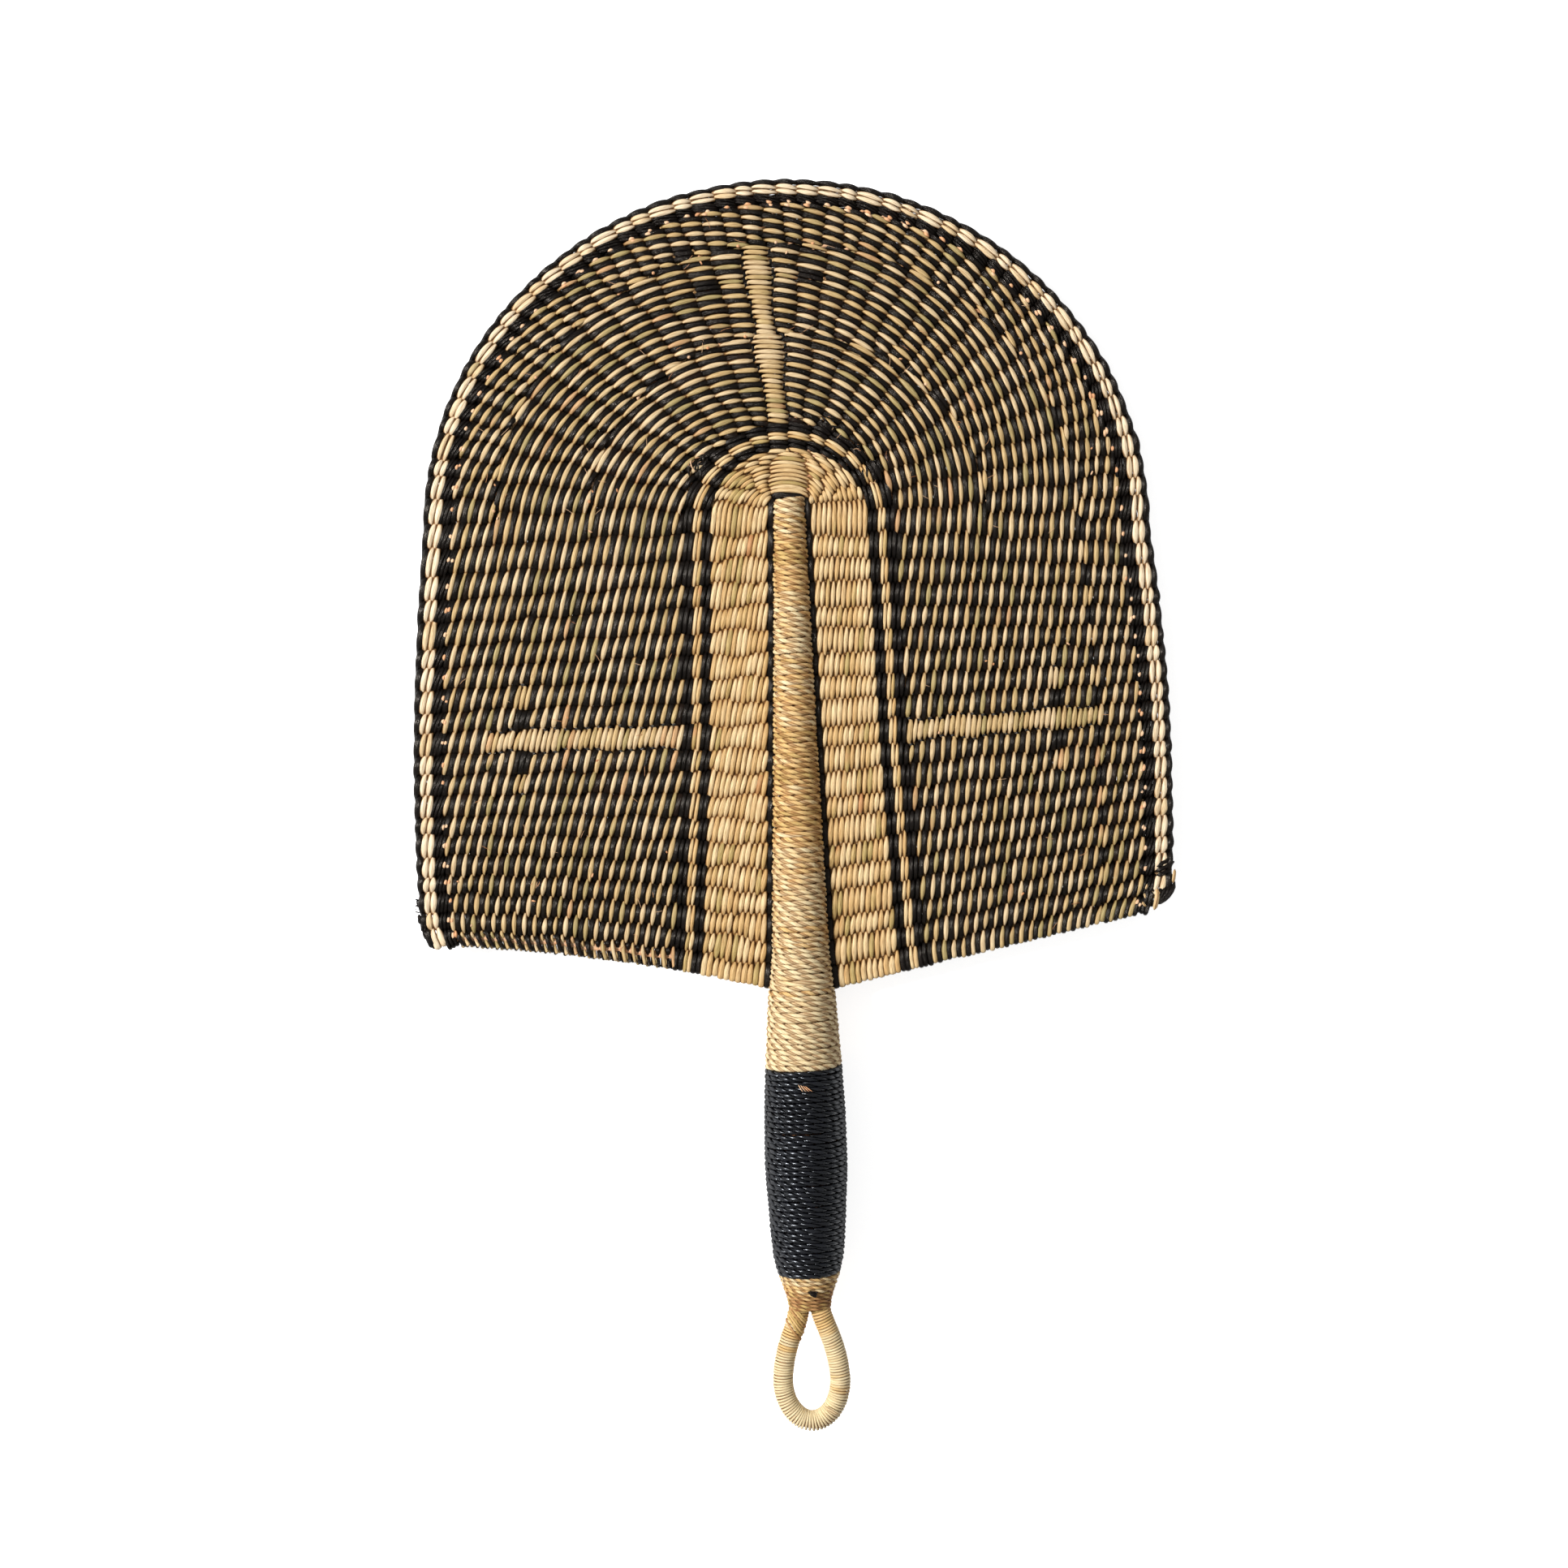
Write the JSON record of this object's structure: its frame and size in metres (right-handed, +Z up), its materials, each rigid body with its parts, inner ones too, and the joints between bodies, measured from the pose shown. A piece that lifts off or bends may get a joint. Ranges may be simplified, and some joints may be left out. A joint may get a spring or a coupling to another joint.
{
  "type": "woven hand fan",
  "caption": "Round-topped twined straw hand fan on a cord-bound handle that ends in a hanging loop, with dark and light rows, bars and a dark grip.",
  "frame": {"origin": "middle of the fan's bounding box, on the surface that the fan lies on", "axes": "+Y from the hanging loop to the top of the blade, +X to the blade's right seen from the front, +Z up out of the blade's front"},
  "size_m": [0.247, 0.4088, 0.027],
  "materials": {
    "natural_straw": "satin",
    "black_straw": "satin",
    "two_tone_rows": "satin",
    "stake_straw": "matte",
    "core_bundle": "matte",
    "natural_twine": "satin",
    "black_twine": "satin"
  },
  "bodies": {
    "root": {"spine_piping_row": "black_straw", "natural_inner_rows": "natural_straw", "black_stripe_inner": "black_straw", "natural_stripe": "natural_straw", "black_stripe_outer": "black_straw", "field_rows": "two_tone_rows", "border_wale": "black_straw", "border_braid": "natural_straw", "border_edge_row": "black_straw", "cross_stake_01": "stake_straw", "cross_stake_02": "stake_straw", "cross_stake_03": "stake_straw", "cross_stake_04": "stake_straw", "cross_stake_05": "stake_straw", "cross_stake_06": "stake_straw", "cross_stake_07": "stake_straw", "cross_stake_08": "stake_straw", "cross_stake_09": "stake_straw", "cross_stake_10": "stake_straw", "cross_stake_11": "stake_straw", "cross_stake_12": "stake_straw", "cross_stake_13": "stake_straw", "cross_stake_14": "stake_straw", "cross_stake_15": "stake_straw", "cross_stake_16": "stake_straw", "cross_stake_17": "stake_straw", "cross_stake_18": "stake_straw", "cross_stake_19": "stake_straw", "cross_stake_20": "stake_straw", "dome_stake_01": "stake_straw", "dome_stake_02": "stake_straw", "dome_stake_03": "stake_straw", "dome_stake_04": "stake_straw", "dome_stake_05": "stake_straw", "dome_stake_06": "stake_straw", "dome_stake_07": "stake_straw", "dome_stake_08": "stake_straw", "dome_stake_09": "stake_straw", "dome_stake_10": "stake_straw", "dome_stake_11": "stake_straw", "dome_stake_12": "stake_straw", "added_stake_01": "stake_straw", "added_stake_02": "stake_straw", "added_stake_03": "stake_straw", "added_stake_04": "stake_straw", "added_stake_05": "stake_straw", "added_stake_06": "stake_straw", "added_stake_07": "stake_straw", "added_stake_08": "stake_straw", "added_stake_09": "stake_straw", "added_stake_10": "stake_straw", "added_stake_11": "stake_straw", "handle_core": "core_bundle", "spine_binding": "natural_twine", "grip_binding": "black_twine", "neck_binding": "natural_twine", "loop_cord": "core_bundle", "loop_wrap": "natural_twine"}
  },
  "joints": []
}
